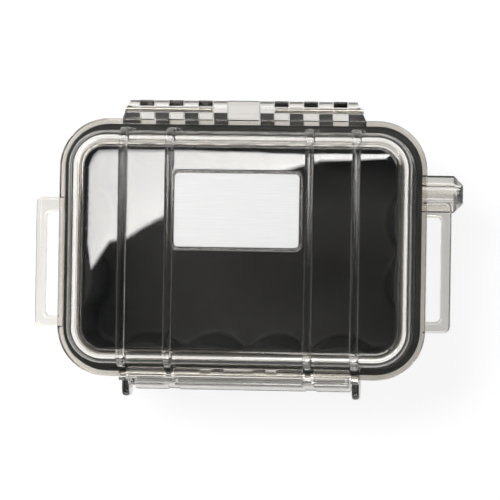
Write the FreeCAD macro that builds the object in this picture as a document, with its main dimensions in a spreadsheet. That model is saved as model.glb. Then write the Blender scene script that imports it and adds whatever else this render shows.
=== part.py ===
import FreeCAD, Part
import Sketcher
import os
import re

# A small hard case, closed. A clear moulded base and lid meet at flanges, with a
# black elastomer liner in the base whose rim is also the seal. Two steel pins hinge
# the lid at the back. A clear latch turns on a steel pin through ears at the lid's front.
# +X is right along the long side, +Y goes back to the hinge and +Z is up. The origin is
# on the surface that the case stands on, under the middle of its overall box.
# The sketches are drawn about the middle of the flanges, and each piece's Placement
# moves it from there to the origin.

SIZES = {
    # flanges and walls of base and lid
    "case_length": 127,
    "case_width": 89,
    "corner_radius": 17,
    "base_height": 35.5,
    "lid_height": 18.5,
    "flange_overhang": 4,
    "wall": 2.4,
    "base_draft": 1.5,
    "lid_draft": 3,
    "base_flange": 3.4,
    "lid_flange": 3,
    "base_bottom_radius": 5,
    "lid_top_radius": 4.6,
    "flange_edge_radius": 0.4,
    "lip_width": 1.6,
    "seal_recess": 2,
    "tongue_width": 1.4,
    "tongue_depth": 0.8,
    "tongue_gap": 0.3,
    # ribs that run round the walls, over the lid and under the base
    "rib_height": 1.2,
    "rib_width": 3,
    "rib_inner_place": 23.9,
    "rib_edge_radius": 1,
    # hinge knuckles, their pins and the heel that stops the lid
    "hinge_setback": 3.46,
    "knuckle_radius": 3.05,
    "knuckle_bevel": 1.9,
    "knuckle_edge": 0.5,
    "knuckle_rounding": 2.2,
    "knuckle_step": 1.3,
    "gusset_slope": 60,
    "gusset_start": 1,
    "knuckle_pitch": 5.07,
    "knuckle_gap": 0.27,
    "knuckle_first": 13.1,
    "knuckle_end_back": 39.1,
    "knuckle_end_front": 42.2,
    "hinge_pin_radius": 1,
    "hinge_pin_outer": 41.4,
    "hinge_pin_inner": 11,
    "pin_chamfer": 0.25,
    "pressed_fit": 0.02,
    "running_fit": 0.06,
    "heel_drop": 2.3,
    "heel_foot": 1.5,
    # latch, its pin and the ears and guards that hold and shield it
    "latch_length": 76,
    "latch_end_gap": 0.5,
    "latch_axis_inset": 1.2,
    "latch_axis_rise": 5.8,
    "latch_barrel_radius": 2.3,
    "latch_barrel_rounding": 2,
    "latch_pin_radius": 1,
    "latch_pin_overrun": 1.2,
    "latch_gap": 0.6,
    "latch_plate": 2.2,
    "latch_toe_height": 3.1,
    "latch_toe_gap": 0.2,
    "latch_toe_drop": 0.5,
    "latch_drop": 20.4,
    "latch_lip_reach": 5,
    "latch_lip_rise": 6,
    "latch_bend_radius": 6,
    "latch_lip_thickness": 1.6,
    "latch_notch": 3.8,
    "latch_sweep": 1.9,
    "latch_groove": 0.6,
    "latch_edge_radius": 0.6,
    "latch_toe_inset": 2,
    "relief_depth": 0.9,
    "relief_front": 0.4,
    "relief_half": 13.1,
    "relief_block_place": 7.2,
    "relief_block_width": 4.3,
    "latch_corner_radius": 1.5,
    "ear_radius": 2.5,
    "ear_rounding": 2.2,
    "ear_clear": 0.35,
    "ear_outer_width": 2.6,
    "ear_inner_width": 2,
    "ear_foot": 1.5,
    "guard_reach": 6.9,
    "guard_drop": 0.3,
    "guard_nose": 11,
    "guard_foot": 21,
    "guard_rounding": 3,
    "guard_edge_radius": 0.9,
    # loops for a strap at both ends
    "loop_reach": 8.4,
    "loop_bar": 3.6,
    "loop_thickness": 4,
    "loop_back": 17.3,
    "loop_front": 28,
    "loop_arm_back": 5.5,
    "loop_arm_front": 4,
    "loop_corner_radius": 2.4,
    "loop_hole_radius": 1.6,
    "loop_edge_radius": 1.1,
    "loop_sink": 0.2,
    # boss on the right for the air valve, and the valve's pieces
    "boss_width": 12.8,
    "boss_place": 20,
    "boss_reach": 12.1,
    "boss_chamfer": 3.2,
    "boss_lap": 0.2,
    "valve_bore_radius": 2.3,
    "valve_plug_radius": 2.6,
    "valve_plug_length": 2.9,
    "valve_passage_radius": 1,
    "valve_seat_radius": 1.8,
    "valve_seat_depth": 1.3,
    "valve_groove_depth": 0.5,
    "valve_groove_width": 0.6,
    "valve_groove_place": 0.8,
    "valve_ring_fit": 0.03,
    "valve_membrane": 0.25,
    "valve_cap": 0.6,
    "valve_cap_hole": 0.4,
    "valve_cap_hole_circle": 0.9,
    "liner_hole_radius": 1.6,
    # liner in the base, with its padded walls
    "liner_wall": 1.5,
    "liner_floor": 2,
    "liner_gap": 0.15,
    "liner_inner_radius": 2.2,
    "liner_rim_top": 0.15,
    "liner_groove_depth": 1,
    "pad_pitch": 22.3,
    "pad_height": 2.6,
    "pad_clear_top": 5,
    "pad_root_share": 0.7,
    "pad_sink": 0.3,
    # plate on the lid and its raised seat
    "plate_length": 42.5,
    "plate_width": 25,
    "plate_thickness": 0.5,
    "plate_radius": 1.5,
    "plate_gap": 0.12,
    "plate_place": 12.8,
    "plate_shift": 0.6,
    "seat_border": 1.5,
    "seat_rise": 0.9,
    "seat_depth": 0.7,
    # a length that carries every cut clear past its solid, and one that buries a root
    "overrun": 3,
    "root": 1,
}

# Places worked out from the sizes above.
PLACES = {
    "half_length": "case_length / 2",
    "half_width": "case_width / 2",
    "wall_x": "half_length - flange_overhang",
    "wall_y": "half_width - flange_overhang",
    "wall_corner": "corner_radius - flange_overhang",
    "cavity_x": "wall_x - wall",
    "cavity_y": "wall_y - wall",
    "cavity_corner": "wall_corner - wall",
    "recess_x": "half_length - lip_width",
    "recess_y": "half_width - lip_width",
    "recess_corner": "corner_radius - lip_width",
    "total_height": "base_height + lid_height",
    "base_slope": "tan(base_draft)",
    "lid_slope": "tan(lid_draft)",
    "hinge_y": "half_width + hinge_setback",
    "hinge_z": "base_height",
    "knuckle_width": "knuckle_pitch - knuckle_gap",
    "heel_half": "knuckle_first - knuckle_pitch - knuckle_width / 2 - knuckle_gap",
    "end_slope": "(knuckle_end_front - knuckle_end_back) / (hinge_setback + knuckle_radius)",
    "latch_y": "-half_width + latch_axis_inset",
    "latch_z": "base_height + latch_axis_rise",
    "ear_outer_place": "latch_length / 2 + latch_end_gap + ear_outer_width / 2",
    "rib_outer_place": "ear_outer_place",
    "latch_inside": "-half_width - latch_gap",
    "latch_toe_top": "base_height - base_flange - latch_toe_drop",
    "boss_z": "base_height - base_flange - boss_width / 2 + boss_lap",
    "boss_end": "half_length + boss_reach",
    "plug_start": "boss_end - valve_plug_length",
    "liner_x": "cavity_x - liner_gap",
    "liner_y": "cavity_y - liner_gap",
    "liner_corner": "cavity_corner - liner_gap",
    "liner_top": "base_height - liner_rim_top",
    "cavity_floor": "rib_height + wall",
    "liner_bottom": "cavity_floor + liner_gap",
    "liner_inside_floor": "liner_bottom + liner_floor",
    "liner_narrowing": "(liner_top - liner_inside_floor) * base_slope",
    "liner_inside_x": "liner_x - liner_wall",
    "liner_inside_y": "liner_y - liner_wall",
    "tongue_inset": "lip_width + tongue_gap",
    "seat_top": "total_height - rib_height + seat_rise",
    "seat_x": "plate_length / 2 + plate_gap",
    "seat_y": "plate_width / 2 + plate_gap",
    "frame_x": "(loop_reach - boss_reach) / 2",
    "frame_y": "(guard_reach - hinge_setback - knuckle_radius) / 2",
}

Vector = FreeCAD.Vector
Constraint = Sketcher.Constraint
document = FreeCAD.newDocument("small_hard_case")


def named(formula):
    """A formula over plain size names, with each name's sheet put before it."""
    def with_sheet(found):
        word = found.group()
        if word in SIZES:
            return "Sizes." + word
        if word in PLACES:
            return "Places." + word
        return word

    return re.sub(r"[a-z_]+", with_sheet, formula)


def fill_sheet(sheet_name, rows, start=""):
    sheet = document.addObject("Spreadsheet::Sheet", sheet_name)
    for row, (alias, content) in enumerate(rows.items(), start=1):
        sheet.set(f"A{row}", alias)
        sheet.set(f"B{row}", start + named(str(content)))
        sheet.setAlias(f"B{row}", alias)
    document.recompute()
    return sheet


fill_sheet("Sizes", SIZES)
places = fill_sheet("Places", PLACES, start="=")


def worth(formula):
    return float(places.evalExpression(named(formula)))


def bind(thing, name, formula):
    thing.setExpression(name, named(formula))


def new_body(label):
    body = document.addObject("PartDesign::Body", label)
    body.Label = label
    bind(body, "Placement.Base.x", "frame_x")
    bind(body, "Placement.Base.y", "frame_y")
    return body


def origin_item(body, role):
    return next(item for item in body.Origin.OriginFeatures if item.Role == role)


def new_sketch(body, role, offset="0"):
    """A sketch on one of the body's origin planes, moved along the plane's normal."""
    sketch = body.newObject("Sketcher::SketchObject", "sketch")
    sketch.AttachmentSupport = [(origin_item(body, role), "")]
    sketch.MapMode = "FlatFace"
    bind(sketch, "AttachmentOffset.Base.z", offset)
    return sketch


def pin_point(sketch, item, position, across, along):
    """Holds one point of a sketch by two formulas from the sketch's origin."""
    for kind, formula in (("DistanceX", across), ("DistanceY", along)):
        held = Constraint(kind, -1, 1, item, position, worth(formula))
        bind(sketch, f"Constraints[{sketch.addConstraint(held)}]", formula)


def hold_radius(sketch, item, radius):
    held = sketch.addConstraint(Constraint("Radius", item, worth(radius)))
    bind(sketch, f"Constraints[{held}]", radius)


def outline(sketch, corners):
    """A closed outline. A corner is two formulas, and a third where it is rounded."""
    first = sketch.GeometryCount
    count = len(corners)
    points = [Vector(worth(corner[0]), worth(corner[1]), 0) for corner in corners]
    for index in range(count):
        sketch.addGeometry(Part.LineSegment(points[index], points[(index + 1) % count]), False)
    for index in range(count):
        after = first + (index + 1) % count
        sketch.addConstraint(Constraint("Coincident", first + index, 2, after, 1))
    for index, corner in enumerate(corners):
        pin_point(sketch, first + index, 1, corner[0], corner[1])
    for index, corner in enumerate(corners):
        if len(corner) == 3:
            before = first + (index - 1) % count
            arc = sketch.GeometryCount
            near_before = (points[index] + points[index - 1]) / 2
            near_after = (points[index] + points[(index + 1) % count]) / 2
            sketch.fillet(before, first + index, near_before, near_after, worth(corner[2]), True, True)
            hold_radius(sketch, arc, corner[2])


def rounded_oblong(sketch, half_across, half_along, radius, middle=("0", "0")):
    """A rectangle with round corners about a middle point."""
    across, along = middle
    outline(sketch, [
        (f"{across} - ({half_across})", f"{along} - ({half_along})", radius),
        (f"{across} + ({half_across})", f"{along} - ({half_along})", radius),
        (f"{across} + ({half_across})", f"{along} + ({half_along})", radius),
        (f"{across} - ({half_across})", f"{along} + ({half_along})", radius),
    ])


def round_hole(sketch, across, along, radius):
    middle = Vector(worth(across), worth(along), 0)
    item = sketch.addGeometry(Part.Circle(middle, Vector(0, 0, 1), worth(radius)), False)
    pin_point(sketch, item, 3, across, along)
    hold_radius(sketch, item, radius)


def extrude(kind, body, sketch, length, flipped=False, both_ways=False, draft=None):
    """A pad or a pocket of a sketch. A draft narrows it away from the sketch."""
    feature = body.newObject("PartDesign::" + kind, kind.lower())
    feature.Profile = sketch
    bind(feature, "Length", length)
    feature.Reversed = flipped
    if both_ways:
        feature.SideType = "Symmetric"
    if draft:
        bind(feature, "TaperAngle", f"-{draft}")
    document.recompute()
    return feature


def pad(body, sketch, length, **options):
    return extrude("Pad", body, sketch, length, **options)


def pocket(body, sketch, length, **options):
    return extrude("Pocket", body, sketch, length, **options)


def blend(body, radius, wanted, kind="Fillet"):
    """Rounds or chamfers the edges of a body whose box passes the test."""
    tip = body.Tip
    edges = [f"Edge{number}" for number, edge in enumerate(tip.Shape.Edges, start=1)
             if wanted(edge.BoundBox)]
    feature = body.newObject("PartDesign::" + kind, kind.lower())
    feature.Base = (tip, edges)
    bind(feature, "Size" if kind == "Chamfer" else "Radius", radius)
    document.recompute()
    return feature


NEAR = 0.01
SIDES = (-1, 1)


def slab(body, offset, corners, width):
    """An outline across X, thickened evenly about its place along X."""
    sketch = new_sketch(body, "YZ_Plane", offset)
    outline(sketch, corners)
    return pad(body, sketch, width, both_ways=True)


def mirrored(body, originals):
    """The same features again on the other side of the middle."""
    feature = body.newObject("PartDesign::Mirrored", "mirrored")
    feature.Originals = originals
    feature.MirrorPlane = (origin_item(body, "YZ_Plane"), [""])
    body.Tip = feature
    document.recompute()


def rows(body, original, count, length):
    """A row of copies along X, and the same row on the other side."""
    group = body.newObject("PartDesign::MultiTransform", "rows")
    group.Originals = [original]
    row = document.addObject("PartDesign::LinearPattern", "row")
    row.Direction = (origin_item(body, "X_Axis"), [""])
    row.Occurrences = count
    bind(row, "Length", length)
    other = document.addObject("PartDesign::Mirrored", "other")
    other.MirrorPlane = (origin_item(body, "YZ_Plane"), [""])
    for step in (row, other):
        body.addObject(step)
    group.Transformations = [row, other]
    body.Tip = group
    document.recompute()


def outward_bores(body, axis_y, axis_z, radius, start, length):
    """A round hole along X from a place on the right outward, and its twin on the left."""
    sketch = new_sketch(body, "YZ_Plane", start)
    round_hole(sketch, axis_y, axis_z, radius)
    mirrored(body, [pocket(body, sketch, length, flipped=True)])


# Base shell: a drafted box with a flange, standing on four ribs that run up its walls.
def base_box(body):
    box = new_sketch(body, "XY_Plane", "base_height")
    rounded_oblong(box, "wall_x", "wall_y", "wall_corner")
    pad(body, box, "base_height - rib_height", flipped=True, draft="base_draft")
    bottom = worth("rib_height") + NEAR
    blend(body, "base_bottom_radius", lambda edge: edge.ZMax < bottom)
    flange = new_sketch(body, "XY_Plane", "base_height")
    rounded_oblong(flange, "half_length", "half_width", "corner_radius")
    pad(body, flange, "base_flange", flipped=True)
    under = worth("base_height - base_flange")
    clear = worth("wall_x") + NEAR
    blend(body, "flange_edge_radius",
          lambda edge: abs(edge.ZMax - under) < NEAR and edge.ZLength < NEAR
          and (max(edge.XMax, -edge.XMin) > clear or max(edge.YMax, -edge.YMin) > worth("wall_y") + NEAR))
    top = "wall_y + rib_height - base_flange * base_slope / 2"
    foot = "wall_y + rib_height - base_height * base_slope"
    turn = "base_bottom_radius + rib_height"
    rib = slab(body, "rib_inner_place", [
        (f"-({top})", "base_height - base_flange / 2"),
        (f"-({foot})", "0", turn),
        (foot, "0", turn),
        (top, "base_height - base_flange / 2"),
    ], "rib_width")
    rows(body, rib, 2, "rib_outer_place - rib_inner_place")
    round_ribs(body, lambda edge: edge.ZMin < NEAR)


def round_ribs(body, level):
    """Rounds the long outer edges of the ribs, on the walls and where a rib passes the level."""
    flanks = [abs(worth(place) + side * worth("rib_width") / 2)
              for place in ("rib_inner_place", "rib_outer_place") for side in SIDES]
    beyond = worth("wall_y + rib_height / 2")

    def outer(edge):
        flank = any(abs(abs(edge.XMin) - x) < NEAR for x in flanks) and edge.XLength < NEAR
        return flank and (max(edge.YMax, -edge.YMin) > beyond or level(edge))

    blend(body, "rib_edge_radius", outer)


def base_guards(body):
    """Two fins that stand in front of the flange and shield the ends of the latch."""
    hidden = "-(wall_y - wall / 2)"
    nose = "-(half_width + guard_reach)"
    guard = slab(body, "ear_outer_place", [
        (hidden, "base_height - guard_drop"),
        (hidden, "base_height - guard_foot"),
        (nose, "base_height - guard_nose", "guard_rounding"),
        (nose, "base_height - guard_drop", "guard_rounding"),
    ], "ear_outer_width")
    mirrored(body, [guard])
    front = -worth("half_width") - NEAR
    blend(body, "guard_edge_radius", lambda edge: edge.YMin < front and edge.XLength < NEAR)


def base_knuckles(body):
    """Four square knuckles a side, stepped and rounded where the lid's flange swings past, each
    on a steep gusset that runs down to the wall."""
    hidden = "wall_y - wall / 2"
    back = "hinge_y + knuckle_radius"
    front = "hinge_y - knuckle_radius"
    low = "hinge_z - knuckle_radius"
    high = "hinge_z + knuckle_radius"
    profile = [
        ("hinge_y - gusset_start", low),
        (back, low, "knuckle_edge"),
        (back, high, "knuckle_rounding"),
        ("hinge_y - knuckle_step", high),
        ("hinge_y - knuckle_step", f"{high} - knuckle_bevel"),
        (front, f"{high} - knuckle_bevel"),
        (front, "hinge_z"),
        (hidden, "hinge_z"),
        (hidden, f"{low} - (hinge_y - gusset_start - ({hidden})) * tan(gusset_slope)"),
    ]
    inner = slab(body, "knuckle_first - knuckle_pitch", profile, "knuckle_width")
    rows(body, inner, 4, "6 * knuckle_pitch")
    outer = new_sketch(body, "YZ_Plane", "knuckle_first + 5 * knuckle_pitch")
    outline(outer, profile)
    mirrored(body, [pad(body, outer, "knuckle_end_front - knuckle_first - 5 * knuckle_pitch")])
    ends = new_sketch(body, "XY_Plane", "hinge_z + knuckle_radius + overrun")
    for side in SIDES:
        outline(ends, [
            (f"{side} * knuckle_end_front", "half_width"),
            (f"{side} * (knuckle_end_front + overrun)", "half_width"),
            (f"{side} * (knuckle_end_front + overrun)", "hinge_y + knuckle_radius + overrun"),
            (f"{side} * (knuckle_end_back - overrun * end_slope)",
             "hinge_y + knuckle_radius + overrun"),
        ])
    pocket(body, ends, "base_height + knuckle_radius + overrun")


def strap_loop(body, side):
    """A bar held off the flange by two arms, level with the flange."""
    near = f"{side} * (half_length - root)"
    sketch = new_sketch(body, "XY_Plane", "base_height - loop_sink")
    far = f"{side} * (half_length + loop_reach)"
    outline(sketch, [
        (near, "-loop_front"),
        (far, "-loop_front", "loop_corner_radius"),
        (far, "loop_back", "loop_corner_radius"),
        (near, "loop_back"),
    ])
    inside = f"{side} * (half_length + loop_reach - loop_bar)"
    edge = f"{side} * half_length"
    outline(sketch, [
        (edge, "-loop_front + loop_arm_front"),
        (inside, "-loop_front + loop_arm_front", "loop_hole_radius"),
        (inside, "loop_back - loop_arm_back", "loop_hole_radius"),
        (edge, "loop_back - loop_arm_back"),
    ])
    pad(body, sketch, "loop_thickness", flipped=True)
    levels = (worth("base_height - loop_sink"), worth("base_height - loop_sink - loop_thickness"))
    reach = worth("half_length")

    def beyond_flange(edge):
        near, far = sorted((side * edge.XMin, side * edge.XMax))
        level = any(abs(edge.ZMin - z) < NEAR and abs(edge.ZMax - z) < NEAR for z in levels)
        return level and near > reach - NEAR and far > reach + NEAR

    blend(body, "loop_edge_radius", beyond_flange)


def valve_boss(body):
    """An eight-sided boss with a chamfered end, under the flange on the right."""
    sketch = new_sketch(body, "YZ_Plane", "wall_x - wall / 2")
    half = "boss_width / 2"
    side = f"{half} * tan(22.5)"
    outline(sketch, [
        (f"boss_place + {a} * {half if long else side}", f"boss_z + {b} * {side if long else half}")
        for a, b, long in ((1, -1, 1), (1, 1, 1), (1, 1, 0), (-1, 1, 0),
                           (-1, 1, 1), (-1, -1, 1), (-1, -1, 0), (1, -1, 0))
    ])
    pad(body, sketch, "boss_end - wall_x + wall / 2")
    end = worth("boss_end")
    blend(body, "boss_chamfer", lambda edge: edge.XMin > end - NEAR, kind="Chamfer")


def base_hollow(body):
    cavity = new_sketch(body, "XY_Plane", "base_height")
    rounded_oblong(cavity, "cavity_x", "cavity_y", "cavity_corner")
    pocket(body, cavity, "base_height - cavity_floor", draft="base_draft")
    floor = worth("cavity_floor")
    wall = worth("cavity_x") + NEAR
    blend(body, "base_bottom_radius - wall",
          lambda edge: abs(edge.ZMax - floor) < NEAR and edge.ZLength < NEAR
          and edge.XMax < wall and edge.XMin > -wall)
    recess = new_sketch(body, "XY_Plane", "base_height")
    rounded_oblong(recess, "recess_x", "recess_y", "recess_corner")
    pocket(body, recess, "seal_recess")


def base_bores(body):
    outward_bores(body, "hinge_y", "hinge_z", "hinge_pin_radius + pressed_fit",
                  "hinge_pin_inner", "knuckle_end_front")
    passage = new_sketch(body, "YZ_Plane", "cavity_x - overrun")
    round_hole(passage, "boss_place", "boss_z", "valve_bore_radius")
    pocket(body, passage, "boss_end - cavity_x + overrun", flipped=True)
    seat = new_sketch(body, "YZ_Plane", "plug_start")
    round_hole(seat, "boss_place", "boss_z", "valve_plug_radius + pressed_fit")
    pocket(body, seat, "valve_plug_length + overrun", flipped=True)


base_shell = new_body("base_shell")
base_box(base_shell)
base_guards(base_shell)
base_knuckles(base_shell)
for loop_side in SIDES:
    strap_loop(base_shell, loop_side)
valve_boss(base_shell)
base_hollow(base_shell)
base_bores(base_shell)


# Lid shell: a shallow drafted box with a flange, ribs, a seat for the plate and a tongue
# that drops inside the base's lip and presses the seal.
def lid_box(body):
    box = new_sketch(body, "XY_Plane", "base_height")
    rounded_oblong(box, "wall_x", "wall_y", "wall_corner")
    pad(body, box, "lid_height - rib_height", draft="lid_draft")
    top = worth("total_height - rib_height") - NEAR
    blend(body, "lid_top_radius", lambda edge: edge.ZMin > top)
    flange = new_sketch(body, "XY_Plane", "base_height")
    rounded_oblong(flange, "half_length", "half_width", "corner_radius")
    pad(body, flange, "lid_flange")
    above = worth("base_height + lid_flange")
    clear = worth("wall_x") + NEAR
    blend(body, "flange_edge_radius",
          lambda edge: abs(edge.ZMin - above) < NEAR and edge.ZLength < NEAR
          and (max(edge.XMax, -edge.XMin) > clear or max(edge.YMax, -edge.YMin) > worth("wall_y") + NEAR))
    low = "wall_y + rib_height - lid_flange * lid_slope / 2"
    high = "wall_y + rib_height - lid_height * lid_slope"
    turn = "lid_top_radius + rib_height"
    rib = slab(body, "rib_inner_place", [
        (f"-({low})", "base_height + lid_flange / 2"),
        (low, "base_height + lid_flange / 2"),
        (high, "total_height", turn),
        (f"-({high})", "total_height", turn),
    ], "rib_width")
    rows(body, rib, 2, "rib_outer_place - rib_inner_place")
    crest = worth("total_height") - NEAR
    round_ribs(body, lambda edge: edge.ZMax > crest)


PLATE_MIDDLE = ("-plate_shift", "plate_place")


def plate_seat(body):
    """A raised panel between the inner ribs, sunk a little left of its middle for the plate."""
    raised = new_sketch(body, "XY_Plane", "total_height - rib_height - root / 2")
    rounded_oblong(raised, "seat_x + seat_border", "seat_y + seat_border",
                   "plate_radius + plate_gap", ("0", "plate_place"))
    pad(body, raised, "seat_rise + root / 2")
    sunk = new_sketch(body, "XY_Plane", "seat_top")
    rounded_oblong(sunk, "seat_x", "seat_y", "plate_radius + plate_gap", PLATE_MIDDLE)
    pocket(body, sunk, "seat_depth")


def lid_ears(body):
    """Four ears in line with the ribs, which carry the latch's pin."""
    front = "latch_y - ear_radius"
    hidden = "-(wall_y - wall / 2)"
    profile = [
        (hidden, "base_height + ear_foot"),
        (front, "base_height + ear_foot", "ear_foot"),
        (front, "latch_z + ear_radius", "ear_rounding"),
        ("latch_y + ear_radius", "latch_z + ear_radius + ear_foot"),
        (hidden, "latch_z + ear_radius * 2 + ear_foot"),
    ]
    mirrored(body, [slab(body, "rib_inner_place", profile, "ear_inner_width"),
                    slab(body, "ear_outer_place", profile, "ear_outer_width")])


def lid_knuckles(body):
    """Three knuckles a side, stepped and bevelled below so that they clear the base, and a heel
    at the middle."""
    hidden = "half_width - root"
    back = "hinge_y + knuckle_radius"
    front = "hinge_y - knuckle_radius"
    low = "hinge_z - knuckle_radius"
    high = "hinge_z + knuckle_radius"
    above = [
        (back, high, "knuckle_edge"),
        (hidden, "hinge_z + lid_flange"),
        (hidden, "hinge_z"),
        (front, "hinge_z"),
        (front, f"{low} + knuckle_bevel"),
        ("hinge_y - knuckle_step", f"{low} + knuckle_bevel"),
        ("hinge_y - knuckle_step", low),
    ]
    bevelled = [(f"{back} - knuckle_bevel", low), (back, f"{low} + knuckle_bevel")]
    square = [("hinge_y + heel_foot", low), (back, "hinge_z - heel_drop")]
    knuckle = slab(body, "knuckle_first", above + bevelled, "knuckle_width")
    rows(body, knuckle, 3, "4 * knuckle_pitch")
    slab(body, "0", above + square, "heel_half * 2")


def lid_hollow(body):
    cavity = new_sketch(body, "XY_Plane", "base_height")
    rounded_oblong(cavity, "cavity_x", "cavity_y", "cavity_corner")
    pocket(body, cavity, "lid_height - rib_height - wall", flipped=True, draft="lid_draft")
    roof = worth("total_height - rib_height - wall")
    blend(body, "lid_top_radius - wall / 2",
          lambda edge: abs(edge.ZMax - roof) < NEAR and edge.ZLength < NEAR)
    tongue = new_sketch(body, "XY_Plane", "base_height")
    inner = "tongue_inset + tongue_width"
    for inset in ("tongue_inset", inner):
        rounded_oblong(tongue, f"half_length - ({inset})", f"half_width - ({inset})",
                       f"corner_radius - ({inset})")
    pad(body, tongue, "tongue_depth", flipped=True)


def lid_bores(body):
    outward_bores(body, "hinge_y", "hinge_z", "hinge_pin_radius + running_fit",
                  "heel_half + knuckle_width", "knuckle_end_front")
    sketch = new_sketch(body, "YZ_Plane")
    round_hole(sketch, "latch_y", "latch_z", "latch_pin_radius + pressed_fit")
    pocket(body, sketch, "(ear_outer_place + ear_outer_width) * 2", both_ways=True)


lid_shell = new_body("lid_shell")
lid_box(lid_shell)
plate_seat(lid_shell)
lid_ears(lid_shell)
lid_knuckles(lid_shell)
lid_hollow(lid_shell)
lid_bores(lid_shell)


# Liner: a soft tray inside the base, its rim on the base's recess and its walls padded.
def liner_tray(body):
    tray = new_sketch(body, "XY_Plane", "liner_top")
    rounded_oblong(tray, "liner_x", "liner_y", "liner_corner")
    pad(body, tray, "liner_top - liner_bottom", flipped=True, draft="base_draft")
    bottom = worth("liner_bottom") + NEAR
    blend(body, "base_bottom_radius - wall", lambda edge: edge.ZMax < bottom)
    inner = "tongue_inset + tongue_width + tongue_gap"
    levels = (("lip_width + liner_gap", "seal_recess - liner_groove_depth"),
              (inner, "seal_recess - liner_rim_top"))
    for inset, height in levels:
        rim = new_sketch(body, "XY_Plane", "base_height - seal_recess")
        rounded_oblong(rim, f"half_length - ({inset})", f"half_width - ({inset})",
                       f"corner_radius - ({inset})")
        pad(body, rim, height)
    hollow = new_sketch(body, "XY_Plane", "liner_top")
    rounded_oblong(hollow, "liner_inside_x", "liner_inside_y", "liner_corner - liner_wall")
    pocket(body, hollow, "liner_top - liner_inside_floor", draft="base_draft")
    floor = worth("liner_inside_floor")
    blend(body, "liner_inner_radius",
          lambda edge: abs(edge.ZMax - floor) < NEAR and edge.ZLength < NEAR)


def liner_pads(body):
    """Rounded swellings on the inside walls, four on a long side and two on a short one."""
    root_inset = "liner_narrowing - liner_wall * pad_root_share"
    half = "pad_pitch / 2"
    rise = "pad_height + liner_wall * pad_root_share"
    radius = f"(({rise}) ^ 2 + ({half}) ^ 2) / (2 * ({rise}))"
    walls = (("liner_inside_y", (-1.5, -0.5, 0.5, 1.5), True),
             ("liner_inside_x", (-0.5, 0.5), False))
    sketch = new_sketch(body, "XY_Plane", "liner_inside_floor - pad_sink")
    for wall_place, steps, long_side in walls:
        for side in SIDES:
            for step in steps:
                chord = f"{side} * ({wall_place} - ({root_inset}))"
                crest = f"{side} * ({wall_place} - ({root_inset}) - ({rise}))"
                ends = [(f"{step} * pad_pitch - {half}", chord), (f"{step} * pad_pitch + {half}", chord)]
                top = (f"{step} * pad_pitch", crest)
                if not long_side:
                    ends = [(along, across) for across, along in ends]
                    top = (top[1], top[0])
                swelling(sketch, ends, top, radius)
    pad(body, sketch, "liner_top - pad_clear_top - liner_inside_floor + pad_sink")


def swelling(sketch, ends, top, radius):
    """A slice of a circle on a straight chord."""
    start, finish = (Vector(worth(a), worth(b), 0) for a, b in ends)
    through = Vector(worth(top[0]), worth(top[1]), 0)
    chord = sketch.addGeometry(Part.LineSegment(start, finish), False)
    bow = sketch.addGeometry(Part.Arc(start, through, finish), False)
    first = 1 if (sketch.getPoint(bow, 1) - start).Length < NEAR else 2
    sketch.addConstraint(Constraint("Coincident", chord, 1, bow, first))
    sketch.addConstraint(Constraint("Coincident", chord, 2, bow, 3 - first))
    pin_point(sketch, chord, 1, *ends[0])
    pin_point(sketch, chord, 2, *ends[1])
    hold_radius(sketch, bow, radius)


base_liner = new_body("base_liner")
liner_tray(base_liner)
liner_pads(base_liner)
breather = new_sketch(base_liner, "YZ_Plane", "liner_inside_x - overrun * 2")
round_hole(breather, "boss_place", "boss_z", "liner_hole_radius")
pocket(base_liner, breather, "overrun * 3", flipped=True)


# Latch: a clear plate that hangs from a barrel and flares out to a finger lip.
def latch_plate(body):
    back = "latch_y + latch_barrel_radius"
    low = "latch_z - latch_barrel_radius"
    outside = "latch_inside - latch_plate"
    foot = "latch_z - latch_drop"
    profile = new_sketch(body, "YZ_Plane")
    outline(profile, [
        (back, low, "latch_barrel_rounding"),
        (back, "latch_z + latch_barrel_radius", "latch_barrel_rounding"),
        (outside, "latch_z + latch_barrel_radius", "latch_barrel_rounding"),
        (outside, "latch_z - latch_drop + latch_lip_rise"),
        ("-half_width - latch_lip_reach", foot),
        ("-half_width - latch_lip_reach + latch_lip_thickness", foot),
        ("latch_inside", "latch_z - latch_drop + latch_lip_rise"),
        ("latch_inside", low),
    ])
    pad(body, profile, "latch_length", both_ways=True)
    bend = worth("latch_z - latch_drop + latch_lip_rise")
    blend(body, "latch_bend_radius",
          lambda edge: edge.ZLength < NEAR and abs(edge.ZMax - bend) < NEAR)
    tip = worth(foot) + NEAR
    blend(body, "latch_corner_radius", lambda edge: edge.ZMax < tip and edge.XLength < NEAR)


def latch_notches(body):
    """Room for the lid's two middle ears: behind the plate, and above through the plate too,
    where the ears pass as the latch turns up."""
    top = "latch_z + latch_barrel_radius + overrun"
    cuts = (("latch_y + overrun", "ear_radius + ear_clear + overrun",
             "latch_barrel_radius + overrun + ear_radius + latch_axis_rise - ear_foot"),
            ("latch_y", "latch_barrel_radius + latch_plate + overrun",
             "latch_barrel_radius + overrun + latch_sweep"))
    for middle, half_along, depth in cuts:
        sketch = new_sketch(body, "XY_Plane", top)
        for side in SIDES:
            plain_oblong(sketch, "latch_notch / 2", half_along, (f"{side} * rib_inner_place", middle))
        pocket(body, sketch, depth)


def latch_grooves(body):
    """Below the notches a shallow groove runs down the plate's face and over its lip."""
    far = "-half_width - latch_lip_reach - overrun"
    sunk = "latch_inside - latch_plate + latch_groove"
    tip = "-half_width - latch_lip_reach + latch_groove"
    foot = "latch_z - latch_drop"
    sketch = new_sketch(body, "YZ_Plane", "rib_inner_place")
    outline(sketch, [
        (far, "latch_z - latch_sweep / 2"),
        (sunk, "latch_z - latch_sweep / 2"),
        (sunk, f"{foot} + latch_lip_rise", "latch_bend_radius"),
        (tip, foot),
        (tip, f"{foot} - overrun"),
        (far, f"{foot} - overrun"),
    ])
    mirrored(body, [pocket(body, sketch, "latch_notch", both_ways=True)])


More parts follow.
